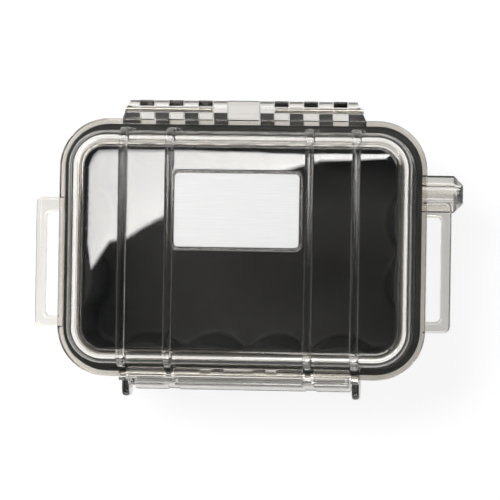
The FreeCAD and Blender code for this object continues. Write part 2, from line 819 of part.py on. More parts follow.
def plain_oblong(sketch, half_across, half_along, middle):
    """A rectangle with sharp corners about a middle point."""
    across, along = middle
    outline(sketch, [(f"{across} + {a} * ({half_across})", f"{along} + {b} * ({half_along})")
                     for a, b in ((-1, -1), (1, -1), (1, 1), (-1, 1))])


def latch_relief(body):
    """The barrel's back is lower along the middle, between and beside two blocks."""
    sketch = new_sketch(body, "XY_Plane", "latch_z + latch_barrel_radius + overrun")
    gap = "relief_block_place - relief_block_width / 2"
    side_half = f"(relief_half - ({gap}) - relief_block_width) / 2"
    along = "latch_y - relief_front + (latch_barrel_radius + overrun) / 2"
    for middle, half in (("0", gap), (f"relief_half - {side_half}", side_half),
                         (f"{side_half} - relief_half", side_half)):
        plain_oblong(sketch, half, "(latch_barrel_radius + overrun) / 2", (middle, along))
    pocket(body, sketch, "overrun + relief_depth")


def latch_toe(body):
    """The ledge on the plate's back that grips under the base's flange."""
    toe = "-half_width - latch_toe_gap"
    sunk = "latch_inside - latch_plate / 2"
    sketch = new_sketch(body, "YZ_Plane")
    outline(sketch, [
        (sunk, "latch_toe_top - latch_toe_height"),
        ("latch_inside", "latch_toe_top - latch_toe_height"),
        (toe, "latch_toe_top - latch_toe_height / 2"),
        (toe, "latch_toe_top"),
        (sunk, "latch_toe_top"),
    ])
    pad(body, sketch, "latch_length - latch_toe_inset * 2", both_ways=True)


latch = new_body("latch")
latch_plate(latch)
latch_notches(latch)
barrel_ends = [worth(place) for place in ("latch_length / 2", "rib_inner_place - latch_notch / 2",
                                          "rib_inner_place + latch_notch / 2")]
clear_of_step = worth("latch_z - latch_barrel_radius - latch_sweep")
blend(latch, "latch_edge_radius",
      lambda edge: edge.XLength < NEAR and any(abs(abs(edge.XMin) - x) < NEAR for x in barrel_ends)
      and (abs(edge.XMin) > barrel_ends[0] - NEAR
           or edge.ZMax > worth("latch_z") and edge.ZMin > clear_of_step))
latch_relief(latch)
latch_toe(latch)
latch_grooves(latch)
pin_hole = new_sketch(latch, "YZ_Plane")
round_hole(pin_hole, "latch_y", "latch_z", "latch_pin_radius + running_fit")
pocket(latch, pin_hole, "latch_length + overrun", both_ways=True)


# Steel pins: plain round wire, pressed in the outer pieces and free in the moving ones.
def steel_pin(label, start, finish, axis_y, axis_z, radius):
    body = new_body(label)
    sketch = new_sketch(body, "YZ_Plane", start)
    round_hole(sketch, axis_y, axis_z, radius)
    pad(body, sketch, f"({finish}) - ({start})")
    blend(body, "pin_chamfer", lambda edge: edge.XLength < NEAR, kind="Chamfer")
    return body


hinge_pin_left = steel_pin("hinge_pin_left", "-hinge_pin_outer", "-hinge_pin_inner",
                           "hinge_y", "hinge_z", "hinge_pin_radius")
hinge_pin_right = steel_pin("hinge_pin_right", "hinge_pin_inner", "hinge_pin_outer",
                            "hinge_y", "hinge_z", "hinge_pin_radius")
latch_pin = steel_pin("latch_pin", "-(ear_outer_place + latch_pin_overrun)",
                      "ear_outer_place + latch_pin_overrun",
                      "latch_y", "latch_z", "latch_pin_radius")


# Plate on the lid: thin metal in its sunk seat.
name_plate = new_body("name_plate")
plate = new_sketch(name_plate, "XY_Plane", "seat_top - seat_depth")
rounded_oblong(plate, "plate_length / 2", "plate_width / 2", "plate_radius", PLATE_MIDDLE)
pad(name_plate, plate, "plate_thickness")


# Air valve: a plug pressed in the boss, its ring seal, a breathing membrane and a cap.
def turned(body, corners):
    """A profile turned about the valve's axis. Each corner is a place and a radius."""
    sketch = new_sketch(body, "XZ_Plane", "-boss_place")
    outline(sketch, [(place, f"boss_z + {radius}") for place, radius in corners])
    turn_about_valve(body, sketch)


def turn_about_valve(body, sketch):
    start = Vector(worth("plug_start"), worth("boss_z"), 0)
    axis = sketch.addGeometry(Part.LineSegment(start, start + Vector(1, 0, 0)), True)
    pin_point(sketch, axis, 1, "plug_start", "boss_z")
    pin_point(sketch, axis, 2, "boss_end", "boss_z")
    feature = body.newObject("PartDesign::Revolution", "revolution")
    feature.Profile = sketch
    feature.ReferenceAxis = (sketch, ["Axis0"])
    document.recompute()


valve_body = new_body("valve_body")
turned(valve_body, [
    ("plug_start", "valve_passage_radius"),
    ("plug_start", "valve_plug_radius"),
    ("plug_start + valve_groove_place", "valve_plug_radius"),
    ("plug_start + valve_groove_place", "valve_plug_radius - valve_groove_depth"),
    ("plug_start + valve_groove_place + valve_groove_width", "valve_plug_radius - valve_groove_depth"),
    ("plug_start + valve_groove_place + valve_groove_width", "valve_plug_radius"),
    ("boss_end", "valve_plug_radius"),
    ("boss_end", "valve_seat_radius"),
    ("boss_end - valve_seat_depth", "valve_seat_radius"),
    ("boss_end - valve_seat_depth", "valve_passage_radius"),
])

valve_o_ring = new_body("valve_o_ring")
ring = new_sketch(valve_o_ring, "XZ_Plane", "-boss_place")
ring_radius = "(valve_groove_depth / 2 - valve_ring_fit)"
round_hole(ring, "plug_start + valve_groove_place + valve_groove_width / 2",
           "boss_z + valve_plug_radius - valve_groove_depth / 2", ring_radius)
turn_about_valve(valve_o_ring, ring)

valve_membrane = new_body("valve_membrane")
disc = new_sketch(valve_membrane, "YZ_Plane", "boss_end - valve_seat_depth")
round_hole(disc, "boss_place", "boss_z", "valve_seat_radius - pressed_fit")
pad(valve_membrane, disc, "valve_membrane")

valve_cap = new_body("valve_cap")
cover = new_sketch(valve_cap, "YZ_Plane", "boss_end - valve_cap")
round_hole(cover, "boss_place", "boss_z", "valve_seat_radius - pressed_fit")
for quarter in range(4):
    turn = f"{90 * quarter}"
    round_hole(cover, f"boss_place + valve_cap_hole_circle * cos({turn})",
               f"boss_z + valve_cap_hole_circle * sin({turn})", "valve_cap_hole")
pad(valve_cap, cover, "valve_cap")


# Every object must be sound before anything is written.
PIECES = [
    base_shell, base_liner, hinge_pin_left, hinge_pin_right,
    lid_shell, name_plate, latch_pin, latch,
    valve_body, valve_o_ring, valve_membrane, valve_cap,
]
document.recompute()
for item in document.Objects:
    if any(word in item.State for word in ("Invalid", "Error")):
        raise RuntimeError(f"{item.Name} failed: {item.State}")
for piece in PIECES:
    if piece.Shape.isNull() or not piece.Shape.isValid():
        raise RuntimeError(f"{piece.Label} has no sound shape")

os.makedirs("parts", exist_ok=True)
for piece in PIECES:
    piece.Shape.exportStep(f"parts/{piece.Label}.step")
    box = piece.Shape.BoundBox
    print(f"{piece.Label}: {piece.Shape.Volume:.1f} mm3, {len(piece.Shape.Solids)} solid,"
          f" {box.XLength:.2f} x {box.YLength:.2f} x {box.ZLength:.2f}")
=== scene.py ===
import math

import bpy
from mathutils import Matrix, Vector


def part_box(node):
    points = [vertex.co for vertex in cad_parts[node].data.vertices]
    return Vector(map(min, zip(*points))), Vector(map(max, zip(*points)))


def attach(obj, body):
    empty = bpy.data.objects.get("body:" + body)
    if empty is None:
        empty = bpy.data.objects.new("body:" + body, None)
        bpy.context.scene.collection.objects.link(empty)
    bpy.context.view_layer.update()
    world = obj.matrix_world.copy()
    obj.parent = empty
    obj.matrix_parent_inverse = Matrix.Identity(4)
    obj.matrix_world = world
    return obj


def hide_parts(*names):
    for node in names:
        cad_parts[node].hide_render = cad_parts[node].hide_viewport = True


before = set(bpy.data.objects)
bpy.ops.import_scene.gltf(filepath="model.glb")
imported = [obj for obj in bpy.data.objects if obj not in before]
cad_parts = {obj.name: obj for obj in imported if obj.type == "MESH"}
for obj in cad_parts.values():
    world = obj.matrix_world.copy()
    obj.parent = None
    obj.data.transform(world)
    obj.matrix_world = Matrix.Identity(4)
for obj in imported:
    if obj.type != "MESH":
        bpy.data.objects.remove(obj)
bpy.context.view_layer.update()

scene = bpy.context.scene
scene.view_settings.view_transform = "Standard"


# Camera: a long lens straight above the lid, leaning a few degrees to the valve's side.
# Its place was fitted to the ribs, knuckles, loops and guards as the photograph shows them.
LEAN_RIGHT, LEAN_BACK, ROLL = 4.65, -0.68, 0.90      # degrees
DISTANCE = 1.0587
LENS_MM, SENSOR_MM = 220.95, 36
VIEW_DEPTH = 20
AIM = Vector((0.00086, -0.00012, 0.035))

camera = bpy.data.objects.new("camera", bpy.data.cameras.new("camera"))
scene.collection.objects.link(camera)
lean = (math.tan(math.radians(LEAN_RIGHT)), math.tan(math.radians(LEAN_BACK)), 1)
back = Vector(lean).normalized()
right = Vector((0, 1, 0)).cross(back).normalized()
up = back.cross(right)
turn = math.radians(ROLL)
across = right * math.cos(turn) + up * math.sin(turn)
upward = up * math.cos(turn) - right * math.sin(turn)
facing = Matrix((across, upward, back)).transposed().to_4x4()
camera.matrix_world = Matrix.Translation(AIM + back * DISTANCE) @ facing
camera.data.lens = LENS_MM
camera.data.sensor_width = SENSOR_MM
camera.data.clip_end = VIEW_DEPTH
scene.camera = camera


# Studio: a white paper sweep on the table, white walls round it, a dark ceiling and softboxes.
# The paper is white to the camera and through clear plastic, and keeps the case's shadow. Its
# faint tooth comes from the fibres, drawn coarser than they are.
def linear(colour):
    """An sRGB hex colour as linear light."""
    parts = (int(colour[i:i + 2], 16) / 255 for i in (1, 3, 5))
    return tuple(c / 12.92 if c <= 0.04045 else ((c + 0.055) / 1.055) ** 2.4 for c in parts) + (1,)


def node(tree, kind, values=None, **settings):
    """Adds a node. Values go to its inputs by name: a socket is linked, anything else is set."""
    made = tree.nodes.new(kind)
    for name, value in settings.items():
        setattr(made, name, value)
    for name, value in (values or {}).items():
        socket = made.inputs[name]
        if isinstance(value, bpy.types.NodeSocket):
            tree.links.new(value, socket)
        else:
            socket.default_value = value
    return made


def new_material(name):
    """An empty material and its tree."""
    material = bpy.data.materials.new(name)
    material.use_nodes = True
    material.node_tree.nodes.clear()
    return material, material.node_tree


def new_piece(name, corners, faces):
    """A mesh object made from its corners and faces."""
    mesh = bpy.data.meshes.new(name)
    mesh.from_pydata(corners, [], faces)
    thing = bpy.data.objects.new(name, mesh)
    scene.collection.objects.link(thing)
    return thing


WHITE = (1, 1, 1, 1)
TABLE_HALF = 3.0
TABLE_DROP = 0.0002       # under the case's feet, so that no two faces share a plane
PAPER_WHITE = "#f4f4f4"
PAPER_SHADE = "#9a9a9a"
PAPER_GLOW = 0.82
GLOW_THROUGH = 0.42       # seen through plastic and in metal, the paper keeps a deeper shadow
FIBRE_MM = 1.5
TOOTH = 0.00005
table_corners = [(x * TABLE_HALF, y * TABLE_HALF, -TABLE_DROP)
                 for x, y in ((-1, -1), (1, -1), (1, 1), (-1, 1))]
table = new_piece("table", table_corners, [(0, 1, 2, 3)])
material, tree = new_material("white_paper_sweep")
path = node(tree, "ShaderNodeLightPath")
through = node(tree, "ShaderNodeMath", {0: path.outputs["Is Transmission Ray"],
                                        1: path.outputs["Is Glossy Ray"]}, operation="MAXIMUM")
place = node(tree, "ShaderNodeTexCoord").outputs["Object"]
fibres = node(tree, "ShaderNodeTexNoise", {"Vector": place, "Scale": 1000 / FIBRE_MM,
                                           "Detail": 3.0})
tooth = node(tree, "ShaderNodeBump", {"Height": fibres.outputs["Fac"], "Strength": 0.1,
                                      "Distance": TOOTH})
paper = node(tree, "ShaderNodeBsdfDiffuse", {"Color": linear(PAPER_WHITE),
                                             "Normal": tooth.outputs[0]})
shade = node(tree, "ShaderNodeBsdfDiffuse", {"Color": linear(PAPER_SHADE),
                                             "Normal": tooth.outputs[0]})
glow = node(tree, "ShaderNodeEmission", {"Color": WHITE, "Strength": PAPER_GLOW})
faint = node(tree, "ShaderNodeEmission", {"Color": WHITE, "Strength": GLOW_THROUGH})
shaded = node(tree, "ShaderNodeAddShader", {0: glow.outputs[0], 1: shade.outputs[0]})
deeper = node(tree, "ShaderNodeAddShader", {0: faint.outputs[0], 1: paper.outputs[0]})
mixed = node(tree, "ShaderNodeMixShader", {0: through.outputs[0], 1: paper.outputs[0],
                                           2: deeper.outputs[0]})
mixed = node(tree, "ShaderNodeMixShader", {0: path.outputs["Is Camera Ray"],
                                           1: mixed.outputs[0], 2: shaded.outputs[0]})
node(tree, "ShaderNodeOutputMaterial", {"Surface": mixed.outputs[0]})
table.data.materials.append(material)

# The walls reach BAND_TOP above the horizon, as a sine. The ceiling is dark and uneven, which
# the flat of the lid mirrors as a cloudy grey.
BAND_TOP = 0.30
CEILING_FROM = 0.42
CEILING_DARK = "#1e2023"
CEILING_LIGHT = "#44474b"
CLOUDS_ACROSS = 40.0
CLOUD_FROM, CLOUD_TO = 0.35, 0.7
world = bpy.data.worlds.new("studio_room")
scene.world = world
world.use_nodes = True
world.node_tree.nodes.clear()
tree = world.node_tree
direction = node(tree, "ShaderNodeTexCoord").outputs["Generated"]
way = node(tree, "ShaderNodeSeparateXYZ", {0: direction})
height = node(tree, "ShaderNodeMapRange", {"Value": way.outputs["Z"], "From Min": BAND_TOP,
                                           "From Max": CEILING_FROM},
              interpolation_type="SMOOTHSTEP")
clouds = node(tree, "ShaderNodeTexNoise", {"Vector": direction, "Scale": CLOUDS_ACROSS,
                                           "Detail": 3.0})
clouds = node(tree, "ShaderNodeMapRange", {"Value": clouds.outputs["Fac"],
                                           "From Min": CLOUD_FROM, "From Max": CLOUD_TO})
walls = node(tree, "ShaderNodeBackground", {"Color": WHITE, "Strength": 1.0})
dark = node(tree, "ShaderNodeBackground", {"Color": linear(CEILING_DARK), "Strength": 1.0})
light = node(tree, "ShaderNodeBackground", {"Color": linear(CEILING_LIGHT), "Strength": 1.0})
ceiling = node(tree, "ShaderNodeMixShader", {0: clouds.outputs[0], 1: dark.outputs[0],
                                             2: light.outputs[0]})
mixed = node(tree, "ShaderNodeMixShader", {0: height.outputs[0], 1: walls.outputs[0],
                                           2: ceiling.outputs[0]})
node(tree, "ShaderNodeOutputWorld", {"Surface": mixed.outputs[0]})


def softbox(name, place, aim, width, depth, watts, lights_paint=True):
    """An area lamp turned to its aim. Without lights_paint only glossy and clear skins show it."""
    data = bpy.data.lights.new(name, "AREA")
    data.shape = "RECTANGLE"
    data.size, data.size_y, data.energy = width, depth, watts
    lamp = bpy.data.objects.new(name, data)
    scene.collection.objects.link(lamp)
    lamp.location = place
    lamp.rotation_mode = "QUATERNION"
    lamp.rotation_quaternion = (Vector(aim) - Vector(place)).to_track_quat("-Z", "Y")
    lamp.visible_diffuse = lights_paint


CASE_MIDDLE, LID_MIDDLE = (0, 0, 0.02), (0, 0, 0.04)
softbox("softbox_key", (-0.45, 0.35, 0.8), CASE_MIDDLE, width=0.5, depth=0.5, watts=6.6)
softbox("softbox_front", (0.25, -0.9, 0.75), CASE_MIDDLE, width=0.7, depth=0.3, watts=4.0)

# Three small lamps, which the round corners of the mouldings mirror as sparkles.
STROBE_SIZE, STROBE_WATTS = 0.09, 6
for k, place in enumerate(((-0.62, 0.48, 0.75), (0.6, 0.5, 0.8), (0.66, -0.6, 0.62))):
    softbox(f"strobe_{k + 1}", place, LID_MIDDLE, width=STROBE_SIZE, depth=STROBE_SIZE,
            watts=STROBE_WATTS, lights_paint=False)


def light_up(cloth, name, light, levels=None):
    """Makes a softbox's cloth glow, as a whole or by a level for each of its corners. Only
    glossy and clear skins show it."""
    material, tree = new_material(name)
    if levels:
        glows = cloth.data.attributes.new("glow", "FLOAT", "POINT")
        glows.data.foreach_set("value", levels)
        level = node(tree, "ShaderNodeAttribute", attribute_name="glow")
        light = node(tree, "ShaderNodeMath", {0: level.outputs["Fac"], 1: light},
                     operation="MULTIPLY").outputs[0]
    glow = node(tree, "ShaderNodeEmission", {"Color": WHITE, "Strength": light})
    node(tree, "ShaderNodeOutputMaterial", {"Surface": glow.outputs[0]})
    cloth.data.materials.append(material)
    cloth.visible_camera = cloth.visible_diffuse = cloth.visible_shadow = False


# A long strip of light behind the hinge, which the pins and ribs mirror as a bright line.
STRIP_HEIGHT, STRIP_LIGHT = 0.7, 4.5
STRIP_LEFT, STRIP_RIGHT, STRIP_NEAR, STRIP_FAR = -0.5, 0.4, 0.12, 0.42
strip_corners = [(STRIP_LEFT, STRIP_NEAR, STRIP_HEIGHT), (STRIP_RIGHT, STRIP_NEAR, STRIP_HEIGHT),
                 (STRIP_RIGHT, STRIP_FAR, STRIP_HEIGHT), (STRIP_LEFT, STRIP_FAR, STRIP_HEIGHT)]
strip = new_piece("softbox_strip", strip_corners, [(0, 1, 2, 3)])
light_up(strip, "strip_cloth", STRIP_LIGHT)

# Softbox over the back left, which the flat of the lid mirrors as a white field: up from the
# left side, along behind the plate and on to the right. Its slats run from the near edge, which
# fades in over BOX_FADE, to the far edge, and it is brighter towards the right.
BOX_HEIGHT = 0.6
BOX_LIGHT = 10.3
BOX_FADE = 0.0025
BOX_FADE_MOST = 0.45      # of a slat's length
BOX_NEAR = [(-0.1250, -0.0060), (-0.1204, 0.0009), (-0.1153, 0.0087), (-0.1064, 0.0104),
            (-0.0987, 0.0157), (-0.0904, 0.0205), (-0.0831, 0.0243), (-0.0686, 0.0317),
            (-0.0479, 0.0393), (-0.0272, 0.0457), (-0.0169, 0.0490), (-0.0066, 0.0522),
            (0.0269, 0.0538)]
BOX_FAR = [(-0.1272, 0.0080), (-0.1272, 0.0300), (-0.1272, 0.0492), (-0.1250, 0.0543),
           (-0.1219, 0.0572), (-0.1100, 0.0577), (-0.0980, 0.0577), (-0.0780, 0.0577),
           (-0.0550, 0.0573), (-0.0300, 0.0567), (-0.0160, 0.0563), (-0.0055, 0.0566),
           (0.0300, 0.0567)]
BOX_LEVELS = (0.0, 0.92, 0.82, 0.78, 0.25)
LEVEL_LEFT, LEVEL_PER_SLAT = 0.88, 0.03
slats = [(Vector(near), Vector(far)) for near, far in zip(BOX_NEAR, BOX_FAR)]
corners, levels, faces = [], [], []
for row, level in enumerate(BOX_LEVELS):
    for slat, (near, far) in enumerate(slats):
        faded = min(BOX_FADE / (far - near).length, BOX_FADE_MOST)
        share = (0, faded, 0.5, 0.94, 1)[row]
        corners.append((*near.lerp(far, share), BOX_HEIGHT))
        levels.append(level * (LEVEL_LEFT + LEVEL_PER_SLAT * slat))
count = len(slats)
for row in range(len(BOX_LEVELS) - 1):
    for slat in range(count - 1):
        first = row * count + slat
        faces.append((first, first + 1, first + count + 1, first + count))
overhead = new_piece("softbox_overhead", corners, faces)
light_up(overhead, "softbox_cloth", BOX_LIGHT, levels)


# Clear mouldings: base, lid and latch, injection moulded in polycarbonate and left clear. The
# skin is a smooth gloss with the long faint waves of a moulded face and a few hairline scratches
# from use, and thick edges look slightly warm.
CLEAR_TINT = "#e9e6e1"
LAMPS_THROUGH = "#e6e6e3"
POLYCARBONATE_IOR = 1.586
GLOSS, DULLEST = 0.004, 0.016
WAVE_MM = 12
WAVE_HEIGHT = 0.0000015
SCRATCH_LONG_MM = 30
SCRATCH_WIDE_MM = 0.5     # far finer on the real one, and drawn as wide as the picture can show
SCRATCH_TURN = 24
SCRATCH_FROM, SCRATCH_TO = 0.72, 0.8
SCRATCH_DULL = 0.04
clear, tree = new_material("clear_polycarbonate_moulded")
place = node(tree, "ShaderNodeTexCoord").outputs["Object"]
waves = node(tree, "ShaderNodeTexNoise", {"Vector": place, "Scale": 1000 / WAVE_MM, "Detail": 1.0})
turned = node(tree, "ShaderNodeMapping", {
    "Vector": place, "Rotation": (0, 0, math.radians(SCRATCH_TURN)),
    "Scale": (1000 / SCRATCH_LONG_MM, 1000 / SCRATCH_WIDE_MM, 1000 / SCRATCH_WIDE_MM)})
lines = node(tree, "ShaderNodeTexNoise", {"Vector": turned.outputs[0], "Scale": 1.0,
                                          "Detail": 0.0})
scratches = node(tree, "ShaderNodeMapRange", {"Value": lines.outputs["Fac"],
                                              "From Min": SCRATCH_FROM, "From Max": SCRATCH_TO})
dull = node(tree, "ShaderNodeMapRange", {"Value": waves.outputs["Fac"], "To Min": GLOSS,
                                         "To Max": DULLEST})
rough = node(tree, "ShaderNodeMath", {0: scratches.outputs[0], 1: SCRATCH_DULL,
                                      2: dull.outputs[0]}, operation="MULTIPLY_ADD")

# The tops of the lid's ribs are slightly crowned: their height falls as the square of the way
# from the rib's middle line, by RIB_CROWN as a radius.
FLANGE_MIDDLE = -0.00185
RIBS = (0.0239, 0.0398)   # the ribs stand at these distances from the flange's middle
RIB_TOP = 0.05398
RIB_CROWN = 0.002
where = node(tree, "ShaderNodeSeparateXYZ", {0: place})
offset = node(tree, "ShaderNodeMath", {0: where.outputs["X"], 1: FLANGE_MIDDLE},
              operation="SUBTRACT")
offset = node(tree, "ShaderNodeMath", {0: offset.outputs[0]}, operation="ABSOLUTE")
from_ribs = []
for rib in RIBS:
    gap = node(tree, "ShaderNodeMath", {0: offset.outputs[0], 1: rib}, operation="SUBTRACT")
    from_ribs.append(node(tree, "ShaderNodeMath", {0: gap.outputs[0]}, operation="ABSOLUTE"))
nearest = node(tree, "ShaderNodeMath", {0: from_ribs[0].outputs[0], 1: from_ribs[1].outputs[0]},
               operation="MINIMUM")
squared = node(tree, "ShaderNodeMath", {0: nearest.outputs[0], 1: nearest.outputs[0]},
               operation="MULTIPLY")
fall = node(tree, "ShaderNodeMath", {0: squared.outputs[0], 1: -0.5 / RIB_CROWN},
            operation="MULTIPLY")
on_top = node(tree, "ShaderNodeMath", {0: where.outputs["Z"], 1: RIB_TOP},
              operation="GREATER_THAN")
crown = node(tree, "ShaderNodeMath", {0: fall.outputs[0], 1: on_top.outputs[0]},
             operation="MULTIPLY")
relief = node(tree, "ShaderNodeMath", {0: waves.outputs["Fac"], 1: WAVE_HEIGHT,
                                       2: crown.outputs[0]}, operation="MULTIPLY_ADD")
swell = node(tree, "ShaderNodeBump", {"Height": relief.outputs[0], "Strength": 1.0,
                                      "Distance": 1.0})
glass = node(tree, "ShaderNodeBsdfPrincipled", {
    "Base Color": linear(CLEAR_TINT), "Roughness": rough.outputs[0], "IOR": POLYCARBONATE_IOR,
    "Transmission Weight": 1.0, "Normal": swell.outputs[0]})

# The lamps shine straight through, so that the liner is lit and the shadow stays pale.
path = node(tree, "ShaderNodeLightPath")
lamps = node(tree, "ShaderNodeMath", {0: path.outputs["Is Shadow Ray"],
                                      1: path.outputs["Is Diffuse Ray"]}, operation="MAXIMUM")
open_way = node(tree, "ShaderNodeBsdfTransparent", {"Color": linear(LAMPS_THROUGH)})
mixed = node(tree, "ShaderNodeMixShader", {0: lamps.outputs[0], 1: glass.outputs[0],
                                           2: open_way.outputs[0]})
node(tree, "ShaderNodeOutputMaterial", {"Surface": mixed.outputs[0]})


def dress(name, material):
    """Gives a CAD node its material."""
    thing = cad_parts[name]
    for slot in thing.material_slots:
        slot.material = material
    if not thing.material_slots:
        thing.data.materials.append(material)


dress("base_shell", clear)
dress("lid_shell", clear)
dress("latch", clear)

# The lid's flange rests on the base's lip: a hair of air keeps the two clear faces apart.
HAIR = 0.000002
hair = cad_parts["lid_shell"].modifiers.new("hair_of_air", "DISPLACE")
hair.mid_level, hair.strength = 0.0, -HAIR


# Liner: a soft tray of black thermoplastic elastomer, moulded in one with its rim, which is the
# case's seal, and with rounded pads up its walls. It lies loose in the base. Its skin is a deep
# matt black with a fine grain, which spreads the lamps into a faint sheen.
MM = 0.001
CORE = (46.5, 27.5)       # every wall and rim of the liner stands round this oblong
STRAIGHT_STEP = 1.6
CORNER_STEPS = 9
DRAFT_OUT, DRAFT_IN = math.tan(math.radians(1.5)), math.tan(math.radians(3.8))
LINER_TOP, LINER_FLOOR, LINER_BOTTOM = 35.35, 5.75, 3.75
WALL_OUT, WALL_IN = 10.45, 8.95
RIM_OUT, RIM_UNDER, RIM_OVER = 15.25, 33.5, 34.5
SEAL_OUT, SEAL_FOOT = 13.4, 33
PAD_PITCH, PAD_TOP, PAD_DOME, PAD_SWELL = 22.3, 30.35, 3.0, 0.55
PAD_RADIUS, PAD_SINK = 18.85, 16.05
PAD_FOOT = 10             # below it the wall curves into the floor
ROWS_UP_WALL = (31.4, PAD_TOP, 30.3, 30.1, 29.8, 29.3, 28.6, 27.7, 26.6, 25.3, 22, 18.5, 15, 11.5)
UNDERSIDE_OUT, FLOOR_OUT = 6, 4.5


def eased(corners, steps=5):
    """A profile whose corners, each (out, up, radius), are rounded off."""
    line = [Vector(corners[0][:2])]
    for before, (out, up, radius), after in zip(corners, corners[1:], corners[2:]):
        corner = Vector((out, up))
        to_before = (Vector(before[:2]) - corner).normalized()
        to_after = (Vector(after[:2]) - corner).normalized()
        half = to_before.angle(to_after) / 2
        middle = corner + (to_before + to_after).normalized() * radius / math.sin(half)
        start = corner + to_before * radius / math.tan(half) - middle
        finish = corner + to_after * radius / math.tan(half) - middle
        line += [middle + start.lerp(finish, step / steps).normalized() * radius
                 for step in range(steps + 1)]
    return line + [Vector(corners[-1][:2])]


def wall_at(wall, height):
    """How far the outer or inner wall stands out of the core at a height, with its draft."""
    return wall - (LINER_TOP - height) * (DRAFT_OUT if wall == WALL_OUT else DRAFT_IN)


outside = eased([(UNDERSIDE_OUT, LINER_BOTTOM, 0),
                 (wall_at(WALL_OUT, LINER_BOTTOM), LINER_BOTTOM, 2.6),
                 (wall_at(WALL_OUT, RIM_UNDER), RIM_UNDER, 0.4),
                 (RIM_OUT, RIM_UNDER, 0.3), (RIM_OUT, RIM_OVER, 0.3),
                 (SEAL_OUT, RIM_OVER, 0.25), (SEAL_OUT, LINER_TOP, 0.3),
                 (WALL_IN, LINER_TOP, 0.4), (wall_at(WALL_IN, SEAL_FOOT), SEAL_FOOT, 0)])
inside = [Vector((wall_at(WALL_IN, height), height)) for height in ROWS_UP_WALL]
inside += eased([(wall_at(WALL_IN, PAD_FOOT), PAD_FOOT, 0),
                 (wall_at(WALL_IN, LINER_FLOOR), LINER_FLOOR, 2.2), (FLOOR_OUT, LINER_FLOOR, 0)])

# Stations run round the core: each has its place on it, its way out, and how far a pad swells.
stations = []
for quarter in range(4):
    angle = math.radians(90 * quarter)
    out = Vector((math.cos(angle), math.sin(angle)))
    side = Vector((-math.sin(angle), math.cos(angle)))
    reach, half = CORE if quarter % 2 == 0 else CORE[::-1]
    pads = (-0.5, 0.5) if quarter % 2 == 0 else (-1.5, -0.5, 0.5, 1.5)
    steps = round(2 * half / STRAIGHT_STEP)
    for step in range(steps + 1):
        along = half * (2 * step / steps - 1)
        off = min(abs(along - pad * PAD_PITCH) for pad in pads)
        swelling = math.sqrt(PAD_RADIUS ** 2 - min(off, PAD_RADIUS) ** 2) - PAD_SINK
        stations.append((out * reach + side * along, out, max(0.0, swelling)))
    for step in range(1, CORNER_STEPS):
        bend = angle + math.radians(90 * step / CORNER_STEPS)
        normal = Vector((math.cos(bend), math.sin(bend)))
        stations.append((out * reach + side * half, normal, 0.0))
low, high = (Vector(corner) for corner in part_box("base_liner"))
middle = (low + high) / 2
corners, faces = [], []
for row, (out, up) in enumerate(outside + inside):
    into_dome = min(1.0, max(0.0, (up - PAD_TOP + PAD_DOME) / PAD_DOME))
    dome = math.sqrt(1 - into_dome ** 2)
    dome *= 1 + PAD_SWELL * (LINER_TOP - up) / (LINER_TOP - LINER_FLOOR)
    for core, normal, swelling in stations:
        spot = core + normal * (out - (swelling * dome if row >= len(outside) else 0))
        corners.append((middle.x + spot.x * MM, middle.y + spot.y * MM, up * MM))
count = len(stations)
rows = len(outside) + len(inside)
for row in range(rows - 1):
    this, above = row * count, (row + 1) * count
    for k in range(count):
        after = (k + 1) % count
        faces.append((this + k, this + after, above + after, above + k))
faces.append(tuple(reversed(range(count))))
faces.append(tuple((rows - 1) * count + k for k in range(count)))
liner = new_piece("liner_tray", corners, faces)

# The breather hole through its right wall, in line with the valve.
BREATHER_RADIUS, BREATHER_AT = 1.6, (20.0, 25.9)
BREATHER_STEPS = 24
PUNCH_FROM, PUNCH_TO = 48, 60
turns = [math.tau * k / BREATHER_STEPS for k in range(BREATHER_STEPS)]
ring = [(BREATHER_AT[0] + BREATHER_RADIUS * math.cos(turn),
         BREATHER_AT[1] + BREATHER_RADIUS * math.sin(turn)) for turn in turns]
corners = [(middle.x + x * MM, middle.y + y * MM, z * MM)
           for x in (PUNCH_FROM, PUNCH_TO) for y, z in ring]
faces = [(k, (k + 1) % BREATHER_STEPS, BREATHER_STEPS + (k + 1) % BREATHER_STEPS,
          BREATHER_STEPS + k) for k in range(BREATHER_STEPS)]
faces.append(tuple(reversed(range(BREATHER_STEPS))))
faces.append(tuple(range(BREATHER_STEPS, 2 * BREATHER_STEPS)))
punch = new_piece("punch", corners, faces)
cut = liner.modifiers.new("breather", "BOOLEAN")
cut.operation, cut.object, cut.solver = "DIFFERENCE", punch, "EXACT"
bpy.context.view_layer.update()
shaped = liner.evaluated_get(bpy.context.evaluated_depsgraph_get())
cut_mesh = bpy.data.meshes.new_from_object(shaped)
liner.modifiers.clear()
liner.data = cut_mesh
bpy.data.objects.remove(punch)


def smooth(thing, sharp_from):
    """Shades a piece smooth, apart from the edges that bend by more than some degrees."""
    thing.data.polygons.foreach_set("use_smooth", [True] * len(thing.data.polygons))
    thing.data.set_sharp_from_angle(angle=math.radians(sharp_from))


